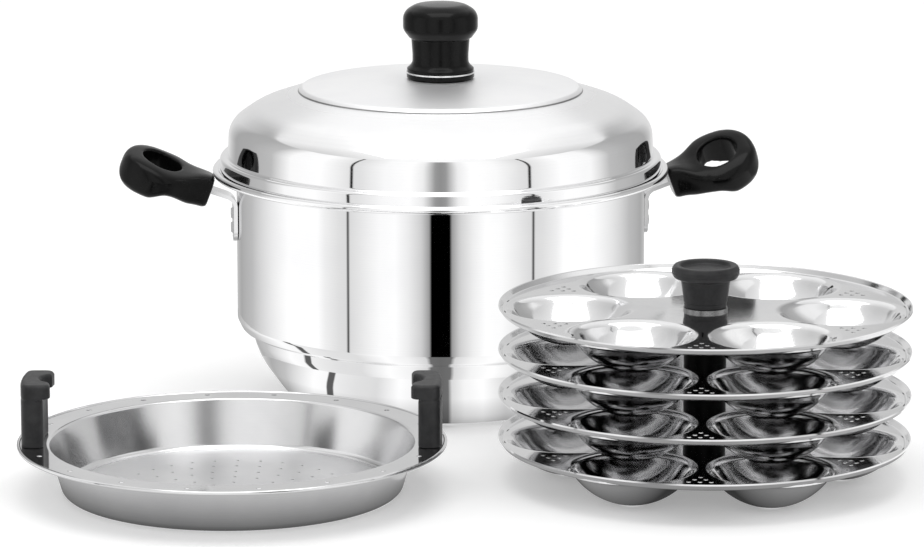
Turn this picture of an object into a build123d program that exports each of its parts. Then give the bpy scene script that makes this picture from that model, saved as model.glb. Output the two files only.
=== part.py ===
from build123d import *
import math
import os

os.makedirs("parts", exist_ok=True)

# Idli steamer: a stepped stainless pot with a domed lid, a perforated steaming tray and a stand of
# four idli plates, laid out on a table as three things: pot under its lid, tray and stand in front.
# All lengths are millimetres. The pot's base centre is the origin, the table is Z = 0, +Z is up,
# +X runs from the pot's left grip to its right grip and -Y is where the tray and the stand are.
# Angles of places round a centre are in degrees from +X, turning towards +Y.

# Clearances shared by all pieces
SEAT_GAP = 0.3  # between curved faces that meet and come apart
FIT_GAP = 0.1  # between pieces that are fixed to each other
RUN_GAP = 0.2  # between the stand's rod and what turns or slides on it
OVERRUN = 2.0  # how far a cutting shape runs past what it cuts
SMALL_SIDES = 6  # flats round small holes, rivets and screws

# Pot, outside of the sheet
POT_SHEET = 0.9
BELLY_RADIUS = 106.6
BELLY_HEIGHT = 76.7
SHOULDER_WIDTH = 8.2  # from the seam out to the belly
SHOULDER_HEIGHT = 5.5
SEAM_LEAN = 0.8
SEAM_HEIGHT = 10.3
BOWL_LEAN = 15.6  # from the base's edge out to the bowl's top
BOWL_HEIGHT = 26.0
BASE_ROUND = 15.0
SHOULDER_FLAT_DROP = 4.6  # height of the flat that breaks the shoulder's corner
SHOULDER_FLAT_SET_IN = 1.7
LIP_REACH = 10.6  # from the belly out to the middle of the rolled lip
LIP_WIRE_RADIUS = 1.8
LIP_RISE = 0.2

# Lid, outside of the sheet
LID_SHEET = 0.8
SKIRT_HEIGHT = 8.2
LEDGE_WIDTH = 4.0
BAND_HEIGHT = 16.5
BAND_TAPER = 0.9
LID_SHOULDER_ROUND = 12.0
DOME_EDGE_WIDTH = 14.1
DOME_EDGE_RISE = 9.4
DOME_EDGE_ROUND = 36.0
DOME_WIDTH = 22.8
DOME_RISE = 7.5
STEP_WIDTH = 1.8
STEP_RISE = 2.6
CROWN_FLAT_WIDTH = 16.4  # of the level ring round the knob
CROWN_TOP_RISE = 3.9

# Lid knob
KNOB_DISC_RADIUS = 17.6
KNOB_DISC_HEIGHT = 3.0
KNOB_DISC_EDGE = 1.0
KNOB_RING_HEIGHT = 0.9
KNOB_RING_LIP = 0.3
KNOB_FOOT_RADIUS = 17.4
KNOB_FOOT_EDGE = 1.0
KNOB_FOOT_RISE = 4.0
KNOB_NECK_RADIUS = 14.4
KNOB_COLLAR_RADIUS = 15.2
KNOB_NECK_HEIGHT = 17.5
KNOB_HEAD_RADIUS = 19.4
KNOB_HEAD_HEIGHT = 18.0
KNOB_HEAD_RADIUS_SHARES = (0.91, 0.985, 1.0, 0.97, 0.87, 0.66)
KNOB_HEAD_HEIGHT_SHARES = (0.11, 0.29, 0.5, 0.71, 0.88, 0.965)
KNOB_BUSH_RADIUS = 4.6
KNOB_BUSH_LENGTH = 12.0
KNOB_SCREW_RADIUS = 2.4
KNOB_SCREW_LENGTH = 11.0
KNOB_SCREW_HEAD_RADIUS = 4.4
KNOB_SCREW_HEAD_HEIGHT = 2.4
KNOB_WASHER_RADIUS = 8.0
KNOB_WASHER_HEIGHT = 1.0

# Pot grips and their straps
HANDLE_BEARING = 6.0
GRIP_ROOT_REACH = 1.6  # from the rim's outer edge to the grip's inner end
GRIP_ROOT_DROP = 10.4  # from the rim's top to the grip's centre line at its inner end
GRIP_TILT = 20.0
GRIP_ROLL_RIGHT = 28.0  # turn of the ring about the grip's length
GRIP_ROLL_LEFT = -12.0
GRIP_NECK_LENGTH = 28.5
GRIP_TOP = 8.2
GRIP_BLOCK_DEPTH = 9.0
GRIP_THROAT_DEPTH = 8.2
GRIP_THROAT_BACK = 6.0  # from the ring's middle back to the throat
GRIP_PALM_DEPTH = 11.6
GRIP_PALM_PAST = 1.5  # from the ring's middle out to the start of the palm
GRIP_TURN_SHARES = (0.0, 0.5, 1.0)  # of the roll, in three lengths of the neck
GRIP_TURN_START_SHARES = (0.0, 0.26, 0.58)
GRIP_TURN_END_SHARES = (0.52, 0.88, 2.0)
GRIP_NOSE_ROUND = 8.5
GRIP_THROAT_ROUND = 8.0
GRIP_RING_RADIUS = 20.0
GRIP_HOLE_RADIUS = 10.6
GRIP_NECK_WIDTH = 22.0
GRIP_NECK_ROUND = 12.0
GRIP_EDGE_ROUND = 2.2
STRAP_SHEET = 2.0
STRAP_WIDTH = 15.0
STRAP_LEG = 22.0
STRAP_LEG_TOP_DROP = 19.0
STRAP_BEND = 5.0
STRAP_TANG = 16.0
STRAP_END_ROUND = 7.0
RIVET_RADIUS = 2.0
RIVET_HEAD_RADIUS = 3.4
RIVET_HEAD_HEIGHT = 1.1
RIVET_HEAD_TAPER = 30.0  # slope of every small domed head, in degrees
RIVETS_HEIGHT = 7.6
GRIP_SCREW_RADIUS = 1.8
GRIP_SCREW_HEAD_RADIUS = 3.2
GRIP_SCREW_HEAD_HEIGHT = 1.8
GRIP_SCREW_SINK = 0.6  # how far the screw's head lies inside the grip
GRIP_SCREW_AT = 9.0
GRIP_SCREW_BITE = 4.0

# Steaming tray
TRAY_SHEET = 0.8
TRAY_PLAY = 1.2  # between the tray's edge and the inside of the pot's belly
TRAY_DEPTH = 24.0
TRAY_WALL_LEAN = 6.9
TRAY_BASE_CORNER = 3.6
TRAY_FLANGE_WIDTH = 15.0
TRAY_HEM_WIDTH = 1.8
TRAY_HEM_HEIGHT = 1.8
TRAY_HOLE_RADIUS = 1.7
TRAY_HOLES_PER_SIDE = 8
STEAM_HOLE_RADIUS = 1.0
STEAM_HOLES_PER_RING = 6
STEAM_RING_STEP = 11.0
STEAM_RINGS = 3
TRAY_BEARING = 244.4
TRAY_SPACE = 8.6  # between the pot's rim and the tray's edge

# Tray grips
TRAY_GRIP_HEIGHT = 31.0
TRAY_GRIP_DEPTH = 10.6
TRAY_GRIP_WIDTH = 36.0
TRAY_GRIP_SET_IN = 2.5
TRAY_GRIP_CORNER = 4.0
TRAY_CAP_HEIGHT = 7.0
TRAY_CAP_REACH = 3.4
TRAY_CAP_GROOVE = 0.8
TRAY_CAP_GROOVE_HEIGHT = 1.2
TRAY_CAP_EDGE = 1.2
TRAY_NOTCH_RADIUS = 9.0
TRAY_NOTCH_DEPTH = 4.6
TRAY_SCREW_RADIUS = 1.5
TRAY_SCREW_LENGTH = 9.0
TRAY_SCREW_HEAD_RADIUS = 3.0
TRAY_SCREW_HEAD_HEIGHT = 1.6
TRAY_SCREWS_WIDTH = 18.0

# Idli plates
PLATE_COUNT = 4
PLATE_SHEET = 0.8
PLATE_PLAY = 4.7  # between a plate's edge and the inside of the pot's belly
PLATE_PITCH = 21.8
PLATE_LIP_WIDTH = 2.4
PLATE_LIP_RISE = 2.6
CUP_COUNT = 6
CUP_BEARING = -4.0
CUP_MARGIN = 4.6  # between the cups and the plate's edge
CUP_GAP = 6.4  # between two cups
CUP_DEPTH = 17.4
CUP_FACETS = 12
CUP_RADIUS_SHARES = (1.0, 0.86, 0.62, 0.30)
CUP_DEPTH_SHARES = (0.0, 0.33, 0.70, 1.0)
VENT_RADIUS = 1.1
VENT_STEP = 5.2
VENT_ROWS = 2
VENT_MARGIN = 23.0  # between the innermost vent and the plate's edge
STAND_BEARING = 305.65
STAND_SPACE = 3.2  # between the pot's rim and the edge of a plate

# Stand rod, spacers and knob
ROD_RADIUS = 3.0
SPACER_RADIUS = 10.4
FOOT_NUT_ACROSS = 10.0
FOOT_NUT_HEIGHT = 5.0
FOOT_NUT_TAIL = 2.0
FOOT_WASHER_RADIUS = 9.0
FOOT_WASHER_HEIGHT = 1.2
STAND_WASHER_RADIUS = 10.8
STAND_WASHER_HEIGHT = 1.3
STAND_KNOB_HEIGHT = 21.0
STAND_KNOB_FOOT_RADIUS = 10.2
STAND_KNOB_TOP_RADIUS = 12.4
STAND_KNOB_LIP_RADIUS = 16.6
STAND_KNOB_LIP_HEIGHT = 6.4
STAND_KNOB_LIP_EDGE = 1.8
STAND_KNOB_DISH_RADIUS = 11.6
STAND_KNOB_DISH_DEPTH = 2.4
STAND_INSERT_RADIUS = 5.2
STAND_INSERT_HEIGHT = 10.0
ROD_BITE = 8.0

# Sizes that follow from the ones above
seam_radius = BELLY_RADIUS - SHOULDER_WIDTH
bowl_radius = seam_radius - SEAM_LEAN
base_radius = bowl_radius - BOWL_LEAN
lip_radius = BELLY_RADIUS + LIP_REACH
seam_z = BOWL_HEIGHT + SEAM_HEIGHT
shoulder_z = seam_z + SHOULDER_HEIGHT
rim_z = shoulder_z + BELLY_HEIGHT
rim_top_z = rim_z + POT_SHEET
lip_outer_radius = lip_radius + LIP_WIRE_RADIUS
lip_z = rim_top_z + LIP_RISE
belly_inner_radius = BELLY_RADIUS - POT_SHEET
skirt_radius = lip_radius - LIP_WIRE_RADIUS - SEAT_GAP
ledge_z = rim_top_z + SKIRT_HEIGHT
band_radius = skirt_radius - LEDGE_WIDTH
band_top_z = ledge_z + BAND_HEIGHT
dome_edge_radius = band_radius - DOME_EDGE_WIDTH
dome_edge_z = band_top_z + DOME_EDGE_RISE
step_radius = dome_edge_radius - DOME_WIDTH
step_z = dome_edge_z + DOME_RISE
crown_radius = step_radius - STEP_WIDTH
crown_z = step_z + STEP_RISE
crown_flat_radius = KNOB_DISC_RADIUS + CROWN_FLAT_WIDTH
lid_top_z = crown_z + CROWN_TOP_RISE
knob_ring_z = lid_top_z + KNOB_DISC_HEIGHT
knob_z = knob_ring_z + KNOB_RING_HEIGHT
knob_neck_top_z = knob_z + KNOB_NECK_HEIGHT
knob_top_z = knob_neck_top_z + KNOB_HEAD_HEIGHT
lid_underside_z = lid_top_z - LID_SHEET

tray_radius = belly_inner_radius - TRAY_PLAY
tray_edge_ring = tray_radius - TRAY_HEM_WIDTH / 2
tray_well_radius = tray_radius - TRAY_FLANGE_WIDTH
tray_base_radius = tray_well_radius - TRAY_WALL_LEAN
tray_flange_z = TRAY_DEPTH + TRAY_SHEET
tray_distance = lip_outer_radius + TRAY_SPACE + tray_radius
tray_x = tray_distance * math.cos(math.radians(TRAY_BEARING))
tray_y = tray_distance * math.sin(math.radians(TRAY_BEARING))
tray_grip_outer = tray_radius - TRAY_GRIP_SET_IN
tray_grip_inner = tray_grip_outer - TRAY_GRIP_DEPTH
tray_grip_middle = (tray_grip_outer + tray_grip_inner) / 2
tray_cap_z = tray_flange_z + TRAY_GRIP_HEIGHT - TRAY_CAP_HEIGHT
tray_hole_step = 180 / (TRAY_HOLES_PER_SIDE + 1)
tray_plane = Plane(origin=(tray_x, tray_y, 0))

plate_radius = belly_inner_radius - PLATE_PLAY
cup_pitch_share = math.sin(math.pi / CUP_COUNT)
cup_ring_radius = (plate_radius - CUP_MARGIN + CUP_GAP / 2) / (1 + cup_pitch_share)
cup_radius = cup_ring_radius * cup_pitch_share - CUP_GAP / 2
vent_ring_radius = plate_radius - VENT_MARGIN
spacer_height = PLATE_PITCH - PLATE_SHEET
stand_distance = lip_outer_radius + STAND_SPACE + plate_radius
stand_x = stand_distance * math.cos(math.radians(STAND_BEARING))
stand_y = stand_distance * math.sin(math.radians(STAND_BEARING))
bore_radius = ROD_RADIUS + RUN_GAP
top_plate_z = CUP_DEPTH + (PLATE_COUNT - 1) * PLATE_PITCH + PLATE_SHEET
stand_knob_z = top_plate_z + STAND_WASHER_HEIGHT
foot_washer_z = CUP_DEPTH - FOOT_WASHER_HEIGHT
foot_nut_z = foot_washer_z - FOOT_NUT_HEIGHT
rod_bottom_z = foot_nut_z - FOOT_NUT_TAIL
rod_top_z = stand_knob_z + ROD_BITE
stand_knob_top_z = stand_knob_z + STAND_KNOB_HEIGHT
stand_knob_lip_z = stand_knob_top_z - STAND_KNOB_LIP_HEIGHT
stand_knob_dish_z = stand_knob_top_z - STAND_KNOB_DISH_DEPTH
vent_bearing = CUP_BEARING + 180 / CUP_COUNT
stand_plane = Plane(origin=(stand_x, stand_y, 0))
stand_section = Plane(origin=(stand_x, stand_y, 0), x_dir=(1, 0, 0), z_dir=(0, -1, 0))
stand_axis = Axis((stand_x, stand_y, 0), (0, 0, 1))


# Sizes of the grips' straps, in the section through the right grip before it is turned to its bearing
tilt = math.radians(GRIP_TILT)
grip_along = (math.cos(tilt), 0, math.sin(tilt))
grip_up = (-math.sin(tilt), 0, math.cos(tilt))
grip_root_x = lip_outer_radius + GRIP_ROOT_REACH
grip_root_z = lip_z + LIP_WIRE_RADIUS - GRIP_ROOT_DROP
grip_side = Plane(origin=(grip_root_x, 0, grip_root_z), x_dir=grip_along, z_dir=(0, -1, 0))
grip_top = Plane(origin=(grip_root_x, 0, grip_root_z), x_dir=grip_along, z_dir=grip_up)
grip_axis = Axis((grip_root_x, 0, grip_root_z), grip_along)
grip_length = GRIP_NECK_LENGTH + GRIP_RING_RADIUS
strap_outer_x = BELLY_RADIUS + FIT_GAP + STRAP_SHEET
strap_bend_z = (
    grip_root_z
    - STRAP_SHEET / 2 / math.cos(tilt)
    - (grip_root_x - strap_outer_x) * math.tan(tilt)
)
strap_end = grip_side.from_local_coords((STRAP_TANG, -STRAP_SHEET / 2, 0))
strap_low_z = strap_bend_z - STRAP_LEG
grip_seat = -(GRIP_BLOCK_DEPTH - GRIP_SCREW_HEAD_HEIGHT - GRIP_SCREW_SINK)  # level of the screw's seat
rivet_places = [(0, strap_low_z + STRAP_END_ROUND), (0, strap_low_z + STRAP_END_ROUND + RIVETS_HEIGHT)]
bearing = math.radians(HANDLE_BEARING)
handle_face = Plane(
    origin=(0, 0, 0),
    x_dir=(-math.sin(bearing), math.cos(bearing), 0),
    z_dir=(math.cos(bearing), math.sin(bearing), 0),
)
right_side = Location((0, 0, 0), (0, 0, HANDLE_BEARING))
left_side = Location((0, 0, 0), (0, 0, HANDLE_BEARING + 180))


def finish(builder, name):
    """Label a finished piece and write it to its own file."""
    builder.part.label = name
    export_step(builder.part, f"parts/{name}.step")


def draw_sheet(corners, rounds, sheet):
    """Section of a sheet: its outside through the corners, its inside a sheet's thickness to their left."""
    runs = [Vector(*end) - Vector(*start) for start, end in zip(corners, corners[1:])]
    sides = [Vector(-run.Y, run.X).normalized() for run in runs]
    inner_corners = [
        Vector(*corner) + (before + after) * (sheet / (1 + before.dot(after)))
        for corner, before, after in zip(corners, [sides[0], *sides], [*sides, sides[-1]])
    ]
    outside = FilletPolyline(*corners, radius=rounds)
    inside = FilletPolyline(*inner_corners, radius=[max(0, size - sheet) for size in rounds])
    Line(outside @ 0, inside @ 0)
    Line(outside @ 1, inside @ 1)


# Pot shell: base, lower bowl, seam, shoulder, belly and flange in one drawn sheet, with a rolled lip
pot_corners = [
    (0, 0),
    (base_radius, 0),
    (bowl_radius, BOWL_HEIGHT),
    (seam_radius, seam_z),
    (BELLY_RADIUS - SHOULDER_FLAT_SET_IN, shoulder_z - SHOULDER_FLAT_SET_IN),
    (BELLY_RADIUS, shoulder_z - SHOULDER_FLAT_SET_IN + SHOULDER_FLAT_DROP),
    (BELLY_RADIUS, rim_z),
    (lip_radius, rim_z),
]
with BuildPart() as pot_shell:
    with BuildSketch(Plane.XZ):
        with BuildLine():
            draw_sheet(pot_corners, [BASE_ROUND, 0, 0, 0, 0, 0], POT_SHEET)
        make_face()
        with Locations((lip_radius, lip_z)):
            RegularPolygon(LIP_WIRE_RADIUS, SMALL_SIDES)
    revolve(axis=Axis.Z)
    with BuildSketch(handle_face):
        with Locations(*rivet_places):
            RegularPolygon(RIVET_RADIUS + FIT_GAP, SMALL_SIDES)
    extrude(amount=BELLY_RADIUS + OVERRUN, both=True, mode=Mode.SUBTRACT)
finish(pot_shell, "pot_shell")

# Steel strap of one grip: a leg riveted to the belly, bent out and up into the grip
with BuildPart() as strap_form:
    with BuildSketch(Plane.XZ):
        with BuildLine():
            strap_line = FilletPolyline(
                (strap_outer_x, strap_low_z),
                (strap_outer_x, strap_bend_z),
                (strap_end.X, strap_end.Z),
                radius=STRAP_BEND,
            )
            offset(strap_line, amount=STRAP_SHEET, side=Side.LEFT)
        make_face()
    extrude(amount=STRAP_WIDTH / 2, both=True)
    fillet(strap_form.edges().filter_by(Axis.X).group_by(Axis.Z)[0], STRAP_END_ROUND)
    with BuildSketch(Plane.YZ):
        with Locations(*rivet_places):
            RegularPolygon(RIVET_RADIUS + FIT_GAP, SMALL_SIDES)
    extrude(amount=strap_outer_x + OVERRUN, mode=Mode.SUBTRACT)
    with BuildSketch(grip_top):
        with Locations((GRIP_SCREW_AT, 0)):
            RegularPolygon(GRIP_SCREW_RADIUS + FIT_GAP, SMALL_SIDES)
    extrude(amount=STRAP_SHEET, both=True, mode=Mode.SUBTRACT)

# Moulded grip, still straight: side profile crossed with the plan of a ring on a neck
with BuildPart() as grip_form:
    with BuildSketch(grip_side):
        with BuildLine():
            FilletPolyline(
                (0, GRIP_TOP),
                (grip_length, GRIP_TOP),
                (grip_length, -GRIP_PALM_DEPTH),
                (GRIP_NECK_LENGTH + GRIP_PALM_PAST, -GRIP_PALM_DEPTH),
                (GRIP_NECK_LENGTH - GRIP_THROAT_BACK, -GRIP_THROAT_DEPTH),
                (0, -GRIP_BLOCK_DEPTH),
                radius=[GRIP_EDGE_ROUND, GRIP_NOSE_ROUND, GRIP_NOSE_ROUND, GRIP_THROAT_ROUND / 2,
                        GRIP_THROAT_ROUND, GRIP_EDGE_ROUND],
                close=True,
            )
        make_face()
    extrude(amount=GRIP_RING_RADIUS + OVERRUN, both=True)
    with BuildSketch(grip_top) as grip_plan:
        with Locations((GRIP_NECK_LENGTH, 0)):
            Circle(GRIP_RING_RADIUS)
        Rectangle(GRIP_NECK_LENGTH, GRIP_NECK_WIDTH, align=(Align.MIN, Align.CENTER))
        fillet(grip_plan.vertices().group_by(Axis.X)[-1], GRIP_NECK_ROUND)
        with Locations((GRIP_NECK_LENGTH, 0)):
            Circle(GRIP_HOLE_RADIUS, mode=Mode.SUBTRACT)
    extrude(amount=GRIP_PALM_DEPTH + OVERRUN, both=True, mode=Mode.INTERSECT)

# The grip cut across into lengths that roll on from its root to its ring
grip_lengths = []
for start_share, end_share in zip(GRIP_TURN_START_SHARES, GRIP_TURN_END_SHARES):
    with BuildPart() as grip_slice:
        add(grip_form.part)
        with BuildSketch(grip_side):
            with Locations((GRIP_NECK_LENGTH * start_share, 0)):
                Rectangle(
                    GRIP_NECK_LENGTH * (end_share - start_share),
                    2 * (GRIP_PALM_DEPTH + GRIP_TOP),
                    align=(Align.MIN, Align.CENTER),
                )
        extrude(amount=GRIP_RING_RADIUS + OVERRUN, both=True, mode=Mode.INTERSECT)
    grip_lengths.append(grip_slice.part)

# Rivets of one strap: inner heads, shanks through belly and strap, domed outer heads
with BuildPart() as rivet_form:
    with BuildSketch(Plane.YZ.offset(belly_inner_radius - FIT_GAP - RIVET_HEAD_HEIGHT)):
        with Locations(*rivet_places):
            RegularPolygon(RIVET_HEAD_RADIUS, SMALL_SIDES)
    extrude(amount=RIVET_HEAD_HEIGHT)
    with BuildSketch(Plane.YZ.offset(belly_inner_radius - FIT_GAP)):
        with Locations(*rivet_places):
            RegularPolygon(RIVET_RADIUS, SMALL_SIDES)
    extrude(amount=strap_outer_x - belly_inner_radius + FIT_GAP)
    with BuildSketch(Plane.YZ.offset(strap_outer_x)):
        with Locations(*rivet_places):
            RegularPolygon(RIVET_HEAD_RADIUS, SMALL_SIDES)
    extrude(amount=RIVET_HEAD_HEIGHT, taper=RIVET_HEAD_TAPER)

# Screw of one grip: head in its recess under the block, shank through the strap's tang
with BuildPart() as grip_screw_form:
    with BuildSketch(grip_top.offset(grip_seat)):
        with Locations((GRIP_SCREW_AT, 0)):
            RegularPolygon(GRIP_SCREW_HEAD_RADIUS, SMALL_SIDES)
    extrude(amount=-GRIP_SCREW_HEAD_HEIGHT)
    with BuildSketch(grip_top.offset(grip_seat)):
        with Locations((GRIP_SCREW_AT, 0)):
            RegularPolygon(GRIP_SCREW_RADIUS, SMALL_SIDES)
    extrude(amount=GRIP_SCREW_BITE - grip_seat)

# The straps and grips of both sides, and their rivets and screws
for side, place, roll in (("right", right_side, GRIP_ROLL_RIGHT), ("left", left_side, GRIP_ROLL_LEFT)):
    with BuildPart() as pot_strap:
        with Locations(place):
            add(strap_form.part)
    finish(pot_strap, f"pot_strap_{side}")

    with BuildPart() as rolled_grip:
        for grip_part, turn_share in zip(grip_lengths, GRIP_TURN_SHARES):
            add(grip_part.rotate(grip_axis, roll * turn_share))
        with BuildSketch(grip_side):
            Rectangle(2 * (STRAP_TANG + FIT_GAP), STRAP_SHEET + 2 * FIT_GAP)
        extrude(amount=STRAP_WIDTH / 2 + FIT_GAP, both=True, mode=Mode.SUBTRACT)
        with BuildSketch(grip_top.offset(GRIP_SCREW_BITE + FIT_GAP)):
            with Locations((GRIP_SCREW_AT, 0)):
                RegularPolygon(GRIP_SCREW_RADIUS + FIT_GAP, SMALL_SIDES)
        extrude(amount=-(GRIP_SCREW_BITE + GRIP_BLOCK_DEPTH + OVERRUN), mode=Mode.SUBTRACT)
        with BuildSketch(grip_top.offset(grip_seat)):
            with Locations((GRIP_SCREW_AT, 0)):
                RegularPolygon(GRIP_SCREW_HEAD_RADIUS + FIT_GAP, SMALL_SIDES)
        extrude(amount=-(GRIP_BLOCK_DEPTH + grip_seat + OVERRUN), mode=Mode.SUBTRACT)

    with BuildPart() as pot_grip:
        with Locations(place):
            add(rolled_grip.part)
    finish(pot_grip, f"pot_grip_{side}")

with BuildPart() as pot_rivets:
    with Locations(right_side, left_side):
        add(rivet_form.part)
finish(pot_rivets, "pot_rivets")

with BuildPart() as pot_grip_screws:
    with Locations(right_side, left_side):
        add(grip_screw_form.part)
finish(pot_grip_screws, "pot_grip_screws")

# Lid shell: skirt that stands in the pot's lip, ledge, band, rounded shoulder, dome and raised crown
lid_corners = [
    (skirt_radius, rim_top_z),
    (skirt_radius, ledge_z),
    (band_radius, ledge_z),
    (band_radius - BAND_TAPER, band_top_z),
    (dome_edge_radius, dome_edge_z),
    (step_radius, step_z),
    (crown_radius, crown_z),
    (crown_flat_radius, lid_top_z),
    (0, lid_top_z),
]
with BuildPart() as lid_shell:
    with BuildSketch(Plane.XZ):
        with BuildLine():
            draw_sheet(lid_corners, [0, 0, LID_SHOULDER_ROUND, DOME_EDGE_ROUND, 0, 0, 0], LID_SHEET)
        make_face()
    revolve(axis=Axis.Z)
    with BuildSketch(Plane.XY.offset(lid_underside_z)):
        RegularPolygon(KNOB_SCREW_RADIUS + FIT_GAP, SMALL_SIDES)
    extrude(amount=OVERRUN, both=True, mode=Mode.SUBTRACT)
finish(lid_shell, "lid_shell")

# Black disc under the lid's knob
with BuildPart() as lid_knob_disc:
    with BuildSketch(Plane.XY.offset(lid_top_z)):
        Circle(KNOB_DISC_RADIUS)
        RegularPolygon(KNOB_SCREW_RADIUS + FIT_GAP, SMALL_SIDES, mode=Mode.SUBTRACT)
    extrude(amount=KNOB_DISC_HEIGHT)
    chamfer(lid_knob_disc.edges().filter_by(GeomType.CIRCLE).group_by(Axis.Z)[0], KNOB_DISC_EDGE)
finish(lid_knob_disc, "lid_knob_disc")

# Bright ring between the disc and the knob
with BuildPart() as lid_knob_ring:
    with BuildSketch(Plane.XY.offset(knob_ring_z)):
        Circle(KNOB_DISC_RADIUS + KNOB_RING_LIP)
        RegularPolygon(KNOB_SCREW_RADIUS + FIT_GAP, SMALL_SIDES, mode=Mode.SUBTRACT)
    extrude(amount=KNOB_RING_HEIGHT)
finish(lid_knob_ring, "lid_knob_ring")

# Lid knob: flared foot, waisted neck and a round head, with a bored seat for its bush
knob_head_side = [
    (KNOB_HEAD_RADIUS * radius_share, knob_neck_top_z + KNOB_HEAD_HEIGHT * height_share)
    for radius_share, height_share in zip(KNOB_HEAD_RADIUS_SHARES, KNOB_HEAD_HEIGHT_SHARES)
]
with BuildPart() as lid_knob:
    with BuildSketch(Plane.XZ):
        with BuildLine():
            Polyline(
                (0, knob_z),
                (KNOB_FOOT_RADIUS, knob_z),
                (KNOB_FOOT_RADIUS, knob_z + KNOB_FOOT_EDGE),
                (KNOB_NECK_RADIUS, knob_z + KNOB_FOOT_RISE),
                (KNOB_COLLAR_RADIUS, knob_neck_top_z),
                *knob_head_side,
                (0, knob_top_z),
                close=True,
            )
        make_face()
    revolve(axis=Axis.Z)
    with BuildSketch(Plane.XY.offset(knob_z)):
        RegularPolygon(KNOB_BUSH_RADIUS + FIT_GAP, SMALL_SIDES)
    extrude(amount=KNOB_BUSH_LENGTH + FIT_GAP, mode=Mode.SUBTRACT)
finish(lid_knob, "lid_knob")

# Metal bush moulded into the knob, which the screw threads into
with BuildPart() as lid_knob_bush:
    with BuildSketch(Plane.XY.offset(knob_z)):
        RegularPolygon(KNOB_BUSH_RADIUS, SMALL_SIDES)
        RegularPolygon(KNOB_SCREW_RADIUS + FIT_GAP, SMALL_SIDES, mode=Mode.SUBTRACT)
    extrude(amount=KNOB_BUSH_LENGTH)
finish(lid_knob_bush, "lid_knob_bush")

# Washer and screw that hold the knob from inside the lid
with BuildPart() as lid_knob_washer:
    with BuildSketch(Plane.XY.offset(lid_underside_z)):
        Circle(KNOB_WASHER_RADIUS)
        RegularPolygon(KNOB_SCREW_RADIUS + FIT_GAP, SMALL_SIDES, mode=Mode.SUBTRACT)
    extrude(amount=-KNOB_WASHER_HEIGHT)
finish(lid_knob_washer, "lid_knob_washer")

with BuildPart() as lid_knob_screw:
    with BuildSketch(Plane.XY.offset(lid_underside_z - KNOB_WASHER_HEIGHT)):
        RegularPolygon(KNOB_SCREW_HEAD_RADIUS, SMALL_SIDES)
    extrude(amount=-KNOB_SCREW_HEAD_HEIGHT, taper=RIVET_HEAD_TAPER)
    with BuildSketch(Plane.XY.offset(lid_underside_z - KNOB_WASHER_HEIGHT)):
        RegularPolygon(KNOB_SCREW_RADIUS, SMALL_SIDES)
    extrude(amount=knob_z + KNOB_SCREW_LENGTH - lid_underside_z + KNOB_WASHER_HEIGHT)
finish(lid_knob_screw, "lid_knob_screw")

# Steaming tray, made round the origin: base, flared wall, flat flange and a rolled edge
tray_corners = [
    (0, 0),
    (tray_base_radius - TRAY_BASE_CORNER, 0),
    (tray_base_radius, TRAY_BASE_CORNER),
    (tray_well_radius, TRAY_DEPTH),
    (tray_edge_ring, TRAY_DEPTH),
]
with BuildPart() as tray_form:
    with BuildSketch(Plane.XZ):
        with BuildLine():
            draw_sheet(tray_corners, [0, 0, 0], TRAY_SHEET)
        make_face()
        with Locations((tray_edge_ring, TRAY_DEPTH + TRAY_SHEET / 2)):
            Rectangle(TRAY_HEM_WIDTH, TRAY_HEM_HEIGHT)
    revolve(axis=Axis.Z)
    with BuildSketch(Plane.XY.offset(TRAY_DEPTH)):
        for half_turn in (0, 180):
            with PolarLocations(
                tray_grip_middle,
                TRAY_HOLES_PER_SIDE,
                start_angle=half_turn + tray_hole_step,
                angular_range=tray_hole_step * (TRAY_HOLES_PER_SIDE - 1),
                endpoint=True,
            ):
                RegularPolygon(TRAY_HOLE_RADIUS, SMALL_SIDES)
        with GridLocations(2 * tray_grip_middle, TRAY_SCREWS_WIDTH, 2, 2):
            RegularPolygon(TRAY_SCREW_RADIUS + FIT_GAP, SMALL_SIDES)
    extrude(amount=OVERRUN, both=True, mode=Mode.SUBTRACT)
    with BuildSketch(Plane.XY):
        RegularPolygon(STEAM_HOLE_RADIUS, SMALL_SIDES)
        for ring in range(1, STEAM_RINGS + 1):
            with PolarLocations(ring * STEAM_RING_STEP, STEAM_HOLES_PER_RING * ring):
                RegularPolygon(STEAM_HOLE_RADIUS, SMALL_SIDES)
    extrude(amount=OVERRUN, both=True, mode=Mode.SUBTRACT)

with BuildPart() as steamer_tray:
    with Locations((tray_x, tray_y)):
        add(tray_form.part)
finish(steamer_tray, "steamer_tray")


def tray_grip_outline(reach):
    """Curved slab that follows the tray's flange, its inner side set in by reach."""
    with BuildSketch() as outline:
        Circle(tray_grip_outer)
        Circle(tray_grip_inner - reach, mode=Mode.SUBTRACT)
        Rectangle(
            tray_grip_outer,
            TRAY_GRIP_WIDTH,
            align=(Align.MIN, Align.CENTER),
            mode=Mode.INTERSECT,
        )
        fillet(outline.vertices(), TRAY_GRIP_CORNER)
    return outline.sketch


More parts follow.
